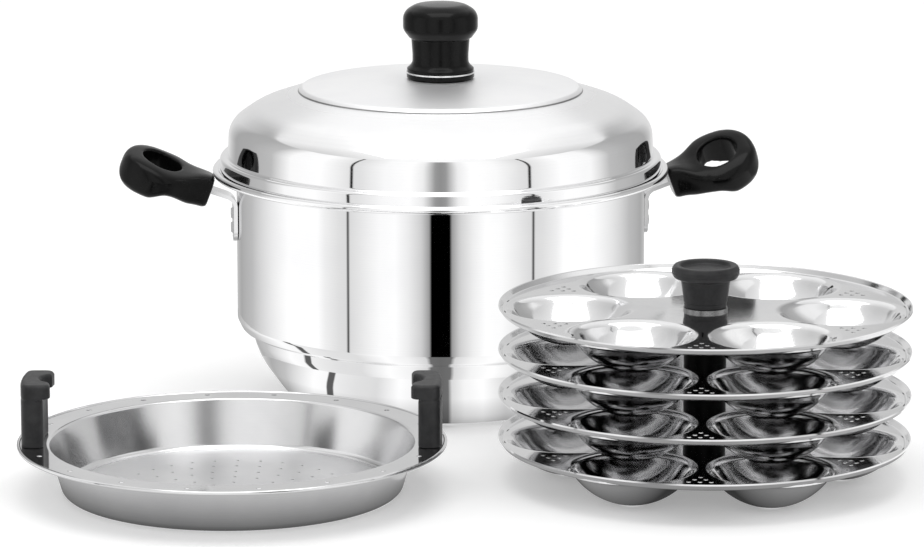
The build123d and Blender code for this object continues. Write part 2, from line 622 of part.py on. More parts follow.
# Tray grip, made on the +X side of the origin: curved post, groove, and a cap notched for a finger
with BuildPart() as tray_grip_form:
    with BuildSketch(Plane.XY.offset(tray_flange_z)):
        add(tray_grip_outline(0))
    extrude(amount=TRAY_GRIP_HEIGHT - TRAY_CAP_HEIGHT - TRAY_CAP_GROOVE_HEIGHT)
    with BuildSketch(Plane.XY.offset(tray_cap_z - TRAY_CAP_GROOVE_HEIGHT)):
        add(tray_grip_outline(0))
        offset(amount=-TRAY_CAP_GROOVE)
    extrude(amount=TRAY_CAP_GROOVE_HEIGHT)
    with BuildSketch(Plane.XY.offset(tray_cap_z)):
        add(tray_grip_outline(TRAY_CAP_REACH))
        with Locations((tray_grip_inner - TRAY_CAP_REACH + TRAY_NOTCH_DEPTH - TRAY_NOTCH_RADIUS, 0)):
            Circle(TRAY_NOTCH_RADIUS, mode=Mode.SUBTRACT)
    extrude(amount=TRAY_CAP_HEIGHT)
    chamfer(tray_grip_form.edges().group_by(Axis.Z)[-1], TRAY_CAP_EDGE)
    with BuildSketch(Plane.XY.offset(tray_flange_z)):
        with Locations((tray_grip_middle, TRAY_SCREWS_WIDTH / 2), (tray_grip_middle, -TRAY_SCREWS_WIDTH / 2)):
            RegularPolygon(TRAY_SCREW_RADIUS + FIT_GAP, SMALL_SIDES)
    extrude(amount=TRAY_SCREW_LENGTH + FIT_GAP, mode=Mode.SUBTRACT)

for side, turn in (("right", 0), ("left", 180)):
    with BuildPart() as tray_grip:
        with Locations(Location((tray_x, tray_y, 0), (0, 0, turn))):
            add(tray_grip_form.part)
    finish(tray_grip, f"tray_grip_{side}")

# Screws that hold the tray's grips from under the flange
with BuildPart() as tray_screws:
    with BuildSketch(tray_plane.offset(TRAY_DEPTH)):
        with GridLocations(2 * tray_grip_middle, TRAY_SCREWS_WIDTH, 2, 2):
            RegularPolygon(TRAY_SCREW_HEAD_RADIUS, SMALL_SIDES)
    extrude(amount=-TRAY_SCREW_HEAD_HEIGHT, taper=RIVET_HEAD_TAPER)
    with BuildSketch(tray_plane.offset(TRAY_DEPTH)):
        with GridLocations(2 * tray_grip_middle, TRAY_SCREWS_WIDTH, 2, 2):
            RegularPolygon(TRAY_SCREW_RADIUS, SMALL_SIDES)
    extrude(amount=TRAY_SHEET + TRAY_SCREW_LENGTH)
finish(tray_screws, "tray_screws")

# One idli cup as a solid: a round bowl drawn in flats, what is left where its turned sections cross
cup_side = [
    (cup_radius * radius_share, CUP_DEPTH * (1 - depth_share))
    for radius_share, depth_share in zip(CUP_RADIUS_SHARES, CUP_DEPTH_SHARES)
]
cup_section = cup_side + [(-radius, height) for radius, height in reversed(cup_side)]
with BuildPart() as cup_form:
    for turn in range(CUP_FACETS // 2):
        with BuildSketch(Plane.XZ.rotated((0, 0, turn * 360 / CUP_FACETS))):
            Polygon(*cup_section, align=None)
        extrude(amount=cup_radius + OVERRUN, both=True, mode=Mode.INTERSECT if turn else Mode.ADD)

# Idli plate, made round the origin: lipped sheet, six drawn cups and clusters of steam vents
plate_corners = [
    (bore_radius, CUP_DEPTH),
    (plate_radius - PLATE_LIP_WIDTH, CUP_DEPTH),
    (plate_radius, CUP_DEPTH + PLATE_LIP_RISE),
]
vent_places = [
    (row * VENT_STEP, (place - row / 2) * VENT_STEP)
    for row in range(VENT_ROWS)
    for place in range(row + 1)
]
with BuildPart() as plate_form:
    with BuildSketch(Plane.XZ):
        with BuildLine():
            draw_sheet(plate_corners, [0], PLATE_SHEET)
        make_face()
    revolve(axis=Axis.Z)
    with PolarLocations(cup_ring_radius, CUP_COUNT, start_angle=CUP_BEARING):
        add(cup_form.part)
    with Locations((0, 0, PLATE_SHEET)):
        with PolarLocations(cup_ring_radius, CUP_COUNT, start_angle=CUP_BEARING):
            add(cup_form.part, mode=Mode.SUBTRACT)
    with BuildSketch(Plane.XY.offset(CUP_DEPTH)):
        with PolarLocations(vent_ring_radius, CUP_COUNT, start_angle=vent_bearing):
            with Locations(*vent_places):
                RegularPolygon(VENT_RADIUS, SMALL_SIDES)
    extrude(amount=OVERRUN, both=True, mode=Mode.SUBTRACT)

# The plates of the stand, numbered from the top one down
for number in range(1, PLATE_COUNT + 1):
    with BuildPart() as idli_plate:
        with Locations((stand_x, stand_y, (PLATE_COUNT - number) * PLATE_PITCH)):
            add(plate_form.part)
    finish(idli_plate, f"idli_plate_{number}")

# Tubes on the rod that keep the plates apart, numbered from the top one down
for number in range(1, PLATE_COUNT):
    plate_below_top_z = CUP_DEPTH + PLATE_SHEET + (PLATE_COUNT - 1 - number) * PLATE_PITCH
    with BuildPart() as spacer:
        with BuildSketch(stand_plane.offset(plate_below_top_z)):
            Circle(SPACER_RADIUS)
            Circle(bore_radius, mode=Mode.SUBTRACT)
        extrude(amount=spacer_height)
    finish(spacer, f"stand_spacer_{number}")

# Rod through the stand, with the washer and the nut that carry the lowest plate
with BuildPart() as stand_rod:
    with BuildSketch(stand_plane.offset(rod_bottom_z)):
        Circle(ROD_RADIUS)
    extrude(amount=rod_top_z - rod_bottom_z)
finish(stand_rod, "stand_rod")

with BuildPart() as stand_foot_washer:
    with BuildSketch(stand_plane.offset(foot_washer_z)):
        Circle(FOOT_WASHER_RADIUS)
        Circle(ROD_RADIUS + FIT_GAP, mode=Mode.SUBTRACT)
    extrude(amount=FOOT_WASHER_HEIGHT)
finish(stand_foot_washer, "stand_foot_washer")

with BuildPart() as stand_foot_nut:
    with BuildSketch(stand_plane.offset(foot_nut_z)):
        RegularPolygon(FOOT_NUT_ACROSS / 2, SMALL_SIDES, major_radius=False)
        Circle(ROD_RADIUS + FIT_GAP, mode=Mode.SUBTRACT)
    extrude(amount=FOOT_NUT_HEIGHT)
finish(stand_foot_nut, "stand_foot_nut")

# Bright washer between the top plate and the stand's knob
with BuildPart() as stand_knob_washer:
    with BuildSketch(stand_plane.offset(top_plate_z)):
        Circle(STAND_WASHER_RADIUS)
        Circle(bore_radius, mode=Mode.SUBTRACT)
    extrude(amount=STAND_WASHER_HEIGHT)
finish(stand_knob_washer, "stand_knob_washer")

# Stand knob: tapered body under a thick rolled lip, dished on top, bored for its threaded insert
with BuildPart() as stand_knob:
    with BuildSketch(stand_section):
        with BuildLine():
            Polyline(
                (0, stand_knob_z),
                (STAND_KNOB_FOOT_RADIUS, stand_knob_z),
                (STAND_KNOB_TOP_RADIUS, stand_knob_lip_z),
                (STAND_KNOB_LIP_RADIUS - STAND_KNOB_LIP_EDGE, stand_knob_lip_z),
                (STAND_KNOB_LIP_RADIUS, stand_knob_lip_z + STAND_KNOB_LIP_EDGE),
                (STAND_KNOB_LIP_RADIUS, stand_knob_top_z - STAND_KNOB_LIP_EDGE),
                (STAND_KNOB_LIP_RADIUS - STAND_KNOB_LIP_EDGE, stand_knob_top_z),
                (STAND_KNOB_DISH_RADIUS, stand_knob_top_z),
                (STAND_KNOB_DISH_RADIUS - STAND_KNOB_LIP_EDGE, stand_knob_dish_z),
                (0, stand_knob_dish_z),
            )
            Line((0, stand_knob_dish_z), (0, stand_knob_z))
        make_face()
    revolve(axis=stand_axis)
    with BuildSketch(stand_plane.offset(stand_knob_z)):
        Circle(STAND_INSERT_RADIUS + FIT_GAP)
    extrude(amount=STAND_INSERT_HEIGHT + FIT_GAP, mode=Mode.SUBTRACT)
finish(stand_knob, "stand_knob")

# Threaded insert of the stand's knob, open below for the rod's end
with BuildPart() as stand_knob_insert:
    with BuildSketch(stand_plane.offset(stand_knob_z)):
        Circle(STAND_INSERT_RADIUS)
    extrude(amount=STAND_INSERT_HEIGHT)
    with BuildSketch(stand_plane.offset(stand_knob_z)):
        Circle(bore_radius)
    extrude(amount=ROD_BITE + FIT_GAP, mode=Mode.SUBTRACT)
finish(stand_knob_insert, "stand_knob_insert")
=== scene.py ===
import math

import bmesh
import bpy
from mathutils import Matrix, Vector
from mathutils.geometry import delaunay_2d_cdt


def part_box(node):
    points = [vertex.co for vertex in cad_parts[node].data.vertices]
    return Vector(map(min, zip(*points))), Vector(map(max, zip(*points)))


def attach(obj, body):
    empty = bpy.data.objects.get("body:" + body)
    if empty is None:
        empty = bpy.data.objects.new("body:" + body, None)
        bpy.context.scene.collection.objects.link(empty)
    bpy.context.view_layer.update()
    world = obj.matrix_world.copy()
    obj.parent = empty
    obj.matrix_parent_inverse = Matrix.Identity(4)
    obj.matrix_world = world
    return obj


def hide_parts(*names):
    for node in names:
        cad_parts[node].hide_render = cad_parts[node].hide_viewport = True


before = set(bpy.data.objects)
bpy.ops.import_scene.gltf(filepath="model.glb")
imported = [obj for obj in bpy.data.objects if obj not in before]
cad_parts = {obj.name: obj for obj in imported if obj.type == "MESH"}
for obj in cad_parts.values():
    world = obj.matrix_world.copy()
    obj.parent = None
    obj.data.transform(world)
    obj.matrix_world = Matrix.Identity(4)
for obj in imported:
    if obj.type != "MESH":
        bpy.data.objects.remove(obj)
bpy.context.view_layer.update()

# Sizes are in millimetres, and those of lights, floor and camera in metres
MM = 0.001
TURN = 2 * math.pi


def middle_of(node):
    """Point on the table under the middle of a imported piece, in metres."""
    low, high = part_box(node)
    return Vector(((low.x + high.x) / 2, (low.y + high.y) / 2, 0.0))


pot_at = Vector((0.0, 0.0, 0.0))
tray_at = middle_of("steamer_tray")
stand_at = middle_of("idli_plate_1")

# Heights of the pot and its lid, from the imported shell's top down to the bowl and up to the lid's knob
SHELL_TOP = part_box("pot_shell")[1].z / MM
RIM = SHELL_TOP - 2.66
SHOULDER = RIM - 76.7
SEAM = SHOULDER - 5.5
BOWL = SEAM - 10.3
LID_FOOT = RIM + 0.9
LEDGE = LID_FOOT + 8.2
BAND_TOP = LEDGE + 16.5
DOME_EDGE = BAND_TOP + 9.4
STEP = DOME_EDGE + 7.5
CROWN = STEP + 2.6
LID_TOP = CROWN + 3.9
DISC_TOP = LID_TOP + 3.0
KNOB_FOOT = DISC_TOP + 0.9

# Sheet thicknesses, and the segments that go round the shells, and round the tray and the plates
POT_SHEET = 0.9
THIN_SHEET = 0.8
SHELL_SEGMENTS = 224
PLATE_SEGMENTS = 192

# Rounds of smoothing that a moulding gets
RELAX_ROUNDS = 8


# Profiles

def rounded(corners, fine=7.0):
    """Dense outline through corners (r, z, radius), each corner turned into an arc."""
    out = []
    last = len(corners) - 1
    for i, (x, y, radius) in enumerate(corners):
        here = Vector((x, y))
        if i in (0, last) or radius <= 0:
            out.append(here)
            continue
        before = Vector(corners[i - 1][:2]) - here
        after = Vector(corners[i + 1][:2]) - here
        a, b = before.normalized(), after.normalized()
        half = a.angle(b) / 2
        if half > math.pi / 2 - 0.01:
            out.append(here)
            continue
        reach = min(radius / math.tan(half), 0.49 * before.length, 0.49 * after.length)
        radius = reach * math.tan(half)
        centre = here + (a + b).normalized() * (radius / math.sin(half))
        start, end = here + a * reach, here + b * reach
        first = math.atan2(start.y - centre.y, start.x - centre.x)
        sweep = math.atan2(end.y - centre.y, end.x - centre.x) - first
        sweep = (sweep + math.pi) % TURN - math.pi
        steps = max(2, math.ceil(abs(math.degrees(sweep)) / fine))
        for k in range(steps + 1):
            angle = first + sweep * k / steps
            out.append(centre + radius * Vector((math.cos(angle), math.sin(angle))))
    return out


def inset(line, amount):
    """The same outline moved to its left by amount."""
    out = []
    for i, here in enumerate(line):
        before = line[i - 1] if i else None
        after = line[i + 1] if i + 1 < len(line) else None
        along = Vector((0.0, 0.0))
        if before is not None and (here - before).length > 1e-9:
            along += (here - before).normalized()
        if after is not None and (after - here).length > 1e-9:
            along += (after - here).normalized()
        along.normalize()
        bend = 1.0
        if before is not None and after is not None:
            bend = max(0.5, along.dot((here - before).normalized()))
        out.append(here + Vector((-along.y, along.x)) * (amount / bend))
    return out


def arc(x, y, radius, first, last, steps):
    """Points of an arc about (x, y) between two angles in degrees."""
    angles = [math.radians(first + (last - first) * k / steps) for k in range(steps + 1)]
    return [Vector((x + radius * math.cos(a), y + radius * math.sin(a))) for a in angles]


def angles_round(count):
    return [TURN * k / count for k in range(count)]


def circle(x, y, radius, count):
    """Corners of a round hole or edge about (x, y)."""
    return [Vector((x + radius * math.cos(a), y + radius * math.sin(a))) for a in angles_round(count)]


# Meshes

def add_lathe(bm, line, segments, centre=(0.0, 0.0), closed=False):
    """Adds an outline turned about a vertical line through centre."""
    x, y = centre
    rings = []
    for p in line:
        if p.x < 1e-4:
            rings.append([bm.verts.new((x * MM, y * MM, p.y * MM))])
            continue
        rings.append([
            bm.verts.new(((x + p.x * math.cos(a)) * MM, (y + p.x * math.sin(a)) * MM, p.y * MM))
            for a in angles_round(segments)
        ])
    pairs = list(zip(rings, rings[1:]))
    if closed:
        pairs.append((rings[-1], rings[0]))
    for a, b in pairs:
        if len(a) == 1 and len(b) == 1:
            continue
        for k in range(segments):
            n = (k + 1) % segments
            if len(a) == 1:
                bm.faces.new((a[0], b[n], b[k]))
            elif len(b) == 1:
                bm.faces.new((a[k], a[n], b[0]))
            else:
                bm.faces.new((a[k], a[n], b[n], b[k]))


def add_flat(bm, outer, holes, height):
    """Adds a flat sheet bounded by a loop, with round holes given as loops."""
    points, edges = [], []
    for loop in [outer, *holes]:
        first = len(points)
        points += loop
        edges += [(first + k, first + (k + 1) % len(loop)) for k in range(len(loop))]
    verts, _, faces, _, _, _ = delaunay_2d_cdt(points, edges, [], 1, 1e-5)
    rounds = []
    for loop in holes:
        middle = sum(loop, Vector((0.0, 0.0))) / len(loop)
        rounds.append((middle, (loop[0] - middle).length * math.cos(math.pi / len(loop)) - 1e-3))
    made = [bm.verts.new((v.x * MM, v.y * MM, height * MM)) for v in verts]
    for face in faces:
        middle = sum((verts[i] for i in face), Vector((0.0, 0.0))) / len(face)
        if any((middle - centre).length < radius for centre, radius in rounds):
            continue
        loop = [made[i] for i in face]
        a, b, c = (verts[i] for i in face[:3])
        if (b - a).cross(c - a) < 0:
            loop.reverse()
        bm.faces.new(loop)


def new_mesh(bm, name):
    """Mesh of what has been drawn, which is then let go."""
    mesh = bpy.data.meshes.new(name)
    bm.to_mesh(mesh)
    bm.free()
    return mesh


def pressing_mesh(bm, name, sharp=None):
    """Mesh of a drawn sheet, smooth but for its cut edges and for bends of more than sharp degrees."""
    bmesh.ops.remove_doubles(bm, verts=bm.verts, dist=2e-6)
    bmesh.ops.delete(bm, geom=[v for v in bm.verts if not v.link_faces], context="VERTS")
    bmesh.ops.recalc_face_normals(bm, faces=bm.faces)
    mesh = new_mesh(bm, name)
    mesh.shade_smooth()
    if sharp:
        mesh.set_sharp_from_angle(angle=math.radians(sharp))
    uses = [0] * len(mesh.edges)
    for loop in mesh.loops:
        uses[loop.edge_index] += 1
    for edge, count in zip(mesh.edges, uses):
        if count == 1:
            edge.use_edge_sharp = True
    return mesh


def closed_loft(name, rings):
    """Closed mesh through rings of points in metres, with both ends capped."""
    bm = bmesh.new()
    loops = [[bm.verts.new(point) for point in ring] for ring in rings]
    for a, b in zip(loops, loops[1:]):
        for k in range(len(a)):
            n = (k + 1) % len(a)
            bm.faces.new((a[k], a[n], b[n], b[k]))
    bm.faces.new(loops[0])
    bm.faces.new(loops[-1])
    bmesh.ops.recalc_face_normals(bm, faces=bm.faces)
    return new_mesh(bm, name)


def new_object(data, name, at=(0, 0, 0)):
    obj = bpy.data.objects.new(name, data)
    bpy.context.scene.collection.objects.link(obj)
    obj.location = at
    return obj


def place(mesh, name, node, body, material, at):
    """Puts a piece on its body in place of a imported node."""
    obj = new_object(mesh, name, at)
    if not mesh.materials:
        mesh.materials.append(material)
    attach(obj, body)
    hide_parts(node)
    return obj


def lathe(name, node, line, body, material, at, segments=128, closed=False):
    """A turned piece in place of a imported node."""
    bm = bmesh.new()
    add_lathe(bm, line, segments, closed=closed)
    place(pressing_mesh(bm, name, sharp=40.0), name, node, body, material, at)


def thicken(obj):
    """Gives a drawn sheet its thickness, below its upper face."""
    sheet = obj.modifiers.new("sheet", "SOLIDIFY")
    sheet.thickness = THIN_SHEET * MM
    sheet.offset = -1.0
    sheet.use_even_offset = True
    obj.modifiers.new("normals", "WEIGHTED_NORMAL").keep_sharp = True


def softened(node, body, material, at, voxel, mesh=None, opening=None):
    """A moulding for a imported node, remeshed and relaxed so that its edges come out round.

    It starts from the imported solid, or from a closed mesh about the place, and may have an opening cut.
    """
    name = node + "_moulded"
    if mesh is None:
        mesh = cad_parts[node].data.copy()
        mesh.materials.clear()
        mesh.transform(Matrix.Translation(-at))
    rough = new_object(mesh, name + "_rough")
    if opening:
        cutter = new_object(opening, name + "_opening")
        cut = rough.modifiers.new("opening", "BOOLEAN")
        cut.operation = "DIFFERENCE"
        cut.object = cutter
    remesh = rough.modifiers.new("voxels", "REMESH")
    remesh.mode = "VOXEL"
    remesh.voxel_size = voxel * MM
    relax = rough.modifiers.new("relax", "SMOOTH")
    relax.factor = 0.5
    relax.iterations = RELAX_ROUNDS
    bpy.context.view_layer.update()
    made = bpy.data.meshes.new_from_object(rough.evaluated_get(bpy.context.evaluated_depsgraph_get()))
    bpy.data.objects.remove(rough)
    if opening:
        bpy.data.objects.remove(cutter)
    made.name = name
    made.materials.clear()
    made.shade_smooth()
    place(made, name, node, body, material, at)


# Node trees

def grey(value):
    return (value, value, value, 1)


class Tree:
    """A short way to write the nodes of a material or of the world."""

    def __init__(self, owner, output):
        owner.use_nodes = True
        self.nodes = owner.node_tree.nodes
        self.links = owner.node_tree.links
        self.nodes.clear()
        self.surface = self.add(output).inputs["Surface"]

    def feed(self, socket, value):
        """Links a socket, or sets it where the value is a plain one."""
        if isinstance(value, bpy.types.NodeSocket):
            self.links.new(value, socket)
        else:
            socket.default_value = value

    def add(self, kind, sockets=None, **settings):
        """New node, with its settings first and then its inputs."""
        node = self.nodes.new(kind)
        for key, value in settings.items():
            setattr(node, key, value)
        for key, value in (sockets or {}).items():
            self.feed(node.inputs[key], value)
        return node

    def calc(self, operation, a, b=0.5):
        return self.add("ShaderNodeMath", {0: a, 1: b}, operation=operation).outputs[0]

    def mix(self, share, a, b):
        return self.add("ShaderNodeMixShader", {0: share, 1: a, 2: b}).outputs[0]

    def split(self, vector):
        return self.add("ShaderNodeSeparateXYZ", {0: vector}).outputs

    def radius(self, vector):
        """Distance from the upright middle line."""
        parts = self.split(vector)
        flat = self.add("ShaderNodeCombineXYZ", {"X": parts["X"], "Y": parts["Y"]})
        return self.add("ShaderNodeVectorMath", {0: flat.outputs[0]}, operation="LENGTH").outputs["Value"]

    def spread(self, value, low, high, start, end):
        """Runs evenly from low at start to high at end."""
        sockets = {"Value": value, "From Min": start, "From Max": end, "To Min": low, "To Max": high}
        return self.add("ShaderNodeMapRange", sockets).outputs["Result"]

    def ramp(self, value, stops):
        """Colour ramp through stops (position, colour)."""
        node = self.add("ShaderNodeValToRGB", {"Fac": value})
        elements = node.color_ramp.elements
        for k, (position, colour) in enumerate(stops):
            element = elements[k] if k < 2 else elements.new(1.0)
            element.position = position
            element.color = colour
        return node.outputs["Color"]

    def sees_background(self):
        """1 for rays from the camera, off gloss or through glass, which meet the plain background."""
        path = self.add("ShaderNodeLightPath").outputs
        seen = self.calc("MAXIMUM", path["Is Camera Ray"], path["Is Glossy Ray"])
        return self.calc("MAXIMUM", seen, path["Is Transmission Ray"])


class Finish(Tree):
    """Material of a piece, laid out in the piece's own frame."""

    def __init__(self, name):
        self.material = bpy.data.materials.new(name)
        super().__init__(self.material, "ShaderNodeOutputMaterial")
        self.bsdf = self.add("ShaderNodeBsdfPrincipled")
        self.feed(self.surface, self.bsdf.outputs["BSDF"])
        self.place = self.add("ShaderNodeTexCoord").outputs["Object"]

    def give(self, socket, value):
        self.feed(self.bsdf.inputs[socket], value)

    def noise(self, scale, detail, rough=0.5):
        sockets = {"Scale": scale, "Detail": detail, "Roughness": rough, "Vector": self.place}
        return self.add("ShaderNodeTexNoise", sockets).outputs["Fac"]

    def measure(self, axis):
        """Height in the piece's own frame, or distance from its upright middle line."""
        return self.split(self.place)["Z"] if axis == "height" else self.radius(self.place)

    def rings(self, scale, detail=2.0):
        """Fine lines round the piece's own middle, as polishing on a lathe leaves them."""
        along = self.calc("ADD", self.measure("radius"), self.measure("height"))
        sockets = {"Scale": scale, "Detail": detail, "W": along}
        return self.add("ShaderNodeTexNoise", sockets, noise_dimensions="1D").outputs["Fac"]

    def between(self, value, low, high):
        """Turns a noise, which keeps to its middle range, into a value from low to high."""
        return self.spread(value, low, high, 0.3, 0.7)

    def tint(self, value, dark, light):
        return self.ramp(value, [(0.3, (*dark, 1)), (0.7, (*light, 1))])

    def blend(self, a, b, share=0.5):
        sockets = {"Factor": share, "A": a, "B": b}
        return self.add("ShaderNodeMix", sockets, data_type="FLOAT").outputs["Result"]

    def bump(self, height, strength, distance, after=None):
        node = self.add("ShaderNodeBump", {"Height": height, "Strength": strength, "Distance": distance})
        if after:
            self.feed(node.inputs["Normal"], after)
        return node.outputs["Normal"]


# Materials

# Noise scales count cells to the metre, and depths of relief are in metres
POLISH_LINES = 2600.0
POLISH_DEPTH = 0.00012
CLOUDS = 26.0
WAVES = 14.0
WAVE_DEPTH = 0.0012
# dark grey of the painted shade line at a crease
CREASE_PAINTED_SHADE = 0.12
MOTTLE = 90.0
FLECKS = 420.0
GRAIN = 1500.0
GRAIN_DEPTH = 0.0001
SKIN = 55.0
SKIN_DEPTH = 0.0006


def steel(name, dark, light, rough_low, rough_high, line_bump, wave_bump, satin=(), line=None):
    """Polished sheet.

    Satin lists (axis, start, end, roughness), how the finish softens along an axis. Line is (axis, place,
    width), a painted shade line: the colour darkens towards a dark grey along a crease.
    """
    n = Finish(name)
    lines = n.rings(POLISH_LINES)
    cloud = n.noise(CLOUDS, 4.0, 0.6)
    tint = n.tint(n.blend(cloud, lines, 0.3), dark, light)
    # painted shade: the colour is pulled to a dark grey along a narrow line at the crease
    if line:
        axis, shade_line_at, width = line
        apart = n.calc("ABSOLUTE", n.calc("SUBTRACT", n.measure(axis), shade_line_at * MM))
        near = n.spread(apart, 1.0, 0.0, 0.0, width * MM)
        sockets = {"Factor": near, "A": tint, "B": grey(CREASE_PAINTED_SHADE)}
        tint = n.add("ShaderNodeMix", sockets, data_type="RGBA").outputs["Result"]
    rough = n.between(n.blend(cloud, lines, 0.55), rough_low, rough_high)
    for axis, start, end, most in satin:
        rough = n.calc("ADD", rough, n.spread(n.measure(axis), 0.0, most, start * MM, end * MM))
    wave = n.bump(n.noise(WAVES, 1.0, 0.4), wave_bump, WAVE_DEPTH)
    n.give("Base Color", tint)
    n.give("Roughness", rough)
    n.give("Normal", n.bump(lines, line_bump, POLISH_DEPTH, wave))
    n.give("Metallic", 1.0)
    return n.material


def bakelite(name, dark, light, rough_low, rough_high, peel, gloss, coat=0.0):
    """Moulded bakelite, mottled a little, with a fine grain and a slightly uneven skin."""
    n = Finish(name)
    mottle = n.noise(MOTTLE, 5.0, 0.65)
    grain = n.bump(n.noise(GRAIN, 2.0), peel, GRAIN_DEPTH)
    n.give("Base Color", n.tint(mottle, dark, light))
    n.give("Roughness", n.between(n.blend(mottle, n.noise(FLECKS, 3.0)), rough_low, rough_high))
    n.give("Normal", n.bump(n.noise(SKIN, 2.0), peel * 0.6, SKIN_DEPTH, grain))
    n.give("Specular IOR Level", gloss)
    n.give("Coat Weight", coat)
    n.give("Coat Roughness", 0.12)
    return n.material


mirror_steel = steel("mirror_steel", (0.87, 0.87, 0.88), (0.93, 0.93, 0.93), 0.015, 0.035, 0.02, 0.012)
lid_steel = steel(
    "lid_steel", (0.87, 0.87, 0.88), (0.93, 0.93, 0.93), 0.03, 0.05, 0.02, 0.012,
    satin=[("height", BAND_TOP, BAND_TOP + 8, 0.22), ("height", STEP - 2, CROWN, 0.2)],
    # painted shade line along the lid's step
    line=("height", STEP + 0.6, 0.55))
tray_steel = steel(
    "tray_steel", (0.66, 0.66, 0.67), (0.77, 0.77, 0.77), 0.05, 0.08, 0.02, 0.1,
    satin=[("radius", 91.5, 88.5, 0.11), ("radius", 81.0, 77.0, 0.22)])
plate_steel = steel("plate_steel", (0.71, 0.71, 0.72), (0.83, 0.83, 0.83), 0.06, 0.12, 0.06, 0.3)
washer_steel = steel("washer_steel", (0.2, 0.2, 0.2), (0.3, 0.3, 0.3), 0.2, 0.35, 0.1, 0.2)
fitting_steel = steel("fitting_steel", (0.7, 0.7, 0.71), (0.85, 0.85, 0.85), 0.12, 0.25, 0.1, 0.2)
black_bakelite = bakelite(
    "black_bakelite", (0.0015, 0.0015, 0.0015), (0.006, 0.006, 0.006), 0.14, 0.24, 0.1, 0.1, 0.1)
grey_bakelite = bakelite("grey_bakelite", (0.012, 0.012, 0.013), (0.034, 0.034, 0.035), 0.34, 0.5, 0.3, 0.25)
tube_bakelite = bakelite("tube_bakelite", (0.001, 0.001, 0.001), (0.004, 0.004, 0.004), 0.3, 0.42, 0.15, 0.08)
brass = steel("brass_insert", (0.55, 0.4, 0.2), (0.7, 0.52, 0.26), 0.2, 0.35, 0.2, 0.2)


# Pot

pot_outside = rounded([
    (0, 0, 0), (79, 0, 16), (94, 20.5, 36), (97.6, BOWL + 4, 14), (98.4, SEAM - 0.4, 0.8),
    (104.4, SEAM + 1.2, 2.4), (106.6, SHOULDER + 0.4, 3.0), (106.6, RIM, 2.6), (115.9, RIM, 0),
])
pot_lip = arc(117.2, RIM + 1.1, 1.8, 218, 540, 22)[:-3]
pot_line = pot_outside + pot_lip + list(reversed(inset(pot_outside, POT_SHEET)))
lathe("pot_shell_polished", "pot_shell", pot_line, "pot", mirror_steel, pot_at,
      SHELL_SEGMENTS, closed=True)


# Pot grips

# A grip is a ring on a neck that rolls as it leaves the strap, over a throat and a deeper palm.
# A place in it is (u, v, w): out from its root, across it and up.
GRIP_ROOT = Vector((120.6, 0.0, SHELL_TOP - 10.4))
GRIP_TILT = math.radians(20.0)
GRIP_ROLL_OVER = (1.0, 19.0)
NECK_LENGTH = 28.5
NECK_HALF = 10.4
RING_RADIUS = 20.0
RING_MEETS = NECK_LENGTH - 8.6
GRIP_LENGTH = NECK_LENGTH + RING_RADIUS
NOSE_FROM = 36.0
OPENING = ((-16, 11.0), (-10, 10.6), (6.0, 10.6), (9.4, 11.4), (16, 12.0))  # levels and radii


def eased(x, start, end):
    """Goes softly from 0 at start to 1 at end."""
    x = min(max((x - start) / (end - start), 0.0), 1.0)
    return x * x * (3 - 2 * x)


def grip_half_width(u):
    """Plan of the grip: two flanks that run on into the ring."""
    if u > RING_MEETS:
        return math.sqrt(max(RING_RADIUS ** 2 - (u - NECK_LENGTH) ** 2, 0.0))
    widest = math.sqrt(RING_RADIUS ** 2 - (RING_MEETS - NECK_LENGTH) ** 2)
    share = u / RING_MEETS
    return NECK_HALF + (widest - NECK_HALF) * (0.35 * share + 0.65 * share ** 2)


def grip_place(u, v, w, roll, bearing):
    """Point in metres of a place in the grip, rolled about its length and set at the pot's side."""
    rolled = roll * eased(u, *GRIP_ROLL_OVER)
    c, s = math.cos(rolled), math.sin(rolled)
    v, w = v * c - w * s, v * s + w * c
    x = GRIP_ROOT.x + u * math.cos(GRIP_TILT) - w * math.sin(GRIP_TILT)
    z = GRIP_ROOT.z + u * math.sin(GRIP_TILT) + w * math.cos(GRIP_TILT)
    c, s = math.cos(bearing), math.sin(bearing)
    return ((x * c - v * s) * MM, (x * s + v * c) * MM, z * MM)


def grip_section(u, corners=48):
    """Boxy oval across the grip, as pairs of v and w."""
    root = 1 - eased(u, -1.0, 2.2)
    top = 8.2 - 1.2 * eased(u, 4, 16) + 0.9 * eased(u, 22, 36)
    low = -9.2 + 3.2 * eased(u, 9, 21) - 4.4 * eased(u, 22, 32)
    nose = max(1 - (max(u - NOSE_FROM, 0.0) / (GRIP_LENGTH - NOSE_FROM)) ** 3, 0.0) ** 0.34
    wide = grip_half_width(min(u, GRIP_LENGTH - 0.02)) - 1.6 * root
    tall = (top - low) / 2 * max(nose, 0.02) - 1.0 * root
    middle = (top + low) / 2
    out = []
    for a in angles_round(corners):
        c, s = math.cos(a), math.sin(a)
        v = wide * math.copysign(abs(c) ** 0.5, c)
        w = middle + tall * math.copysign(abs(s) ** 0.5, s)
        out.append((v, w))
    return out


def grip_stations():
    """Distances from the root, close together where its edge and the nose are round."""
    root = [0.0, 0.3, 1.0, 2.2]
    middle = [3.6 + 0.9 * k for k in range(42)]
    nose = [42.3 + 6.2 * math.sin(math.radians(7.5 * k)) for k in range(13)]
    return root + middle + nose


def grip_mesh(roll, bearing):
    rings = [[grip_place(u, v, w, roll, bearing) for v, w in grip_section(u)] for u in grip_stations()]
    return closed_loft("grip", rings)


def opening_mesh(roll, bearing, corners=64):
    """The round hole of a grip, wider at both its mouths."""
    rings = []
    for w, radius in OPENING:
        places = [(NECK_LENGTH + radius * math.cos(a), radius * math.sin(a)) for a in angles_round(corners)]
        rings.append([grip_place(u, v, w, roll, bearing) for u, v in places])
    return closed_loft("opening", rings)


for side, roll_degrees, bearing_degrees in (("right", 28, 6), ("left", -12, 186)):
    roll = math.radians(roll_degrees)
    bearing = math.radians(bearing_degrees)
    softened(f"pot_grip_{side}", "pot", black_bakelite, pot_at, 0.6,
             grip_mesh(roll, bearing), opening_mesh(roll, bearing))


# Lid

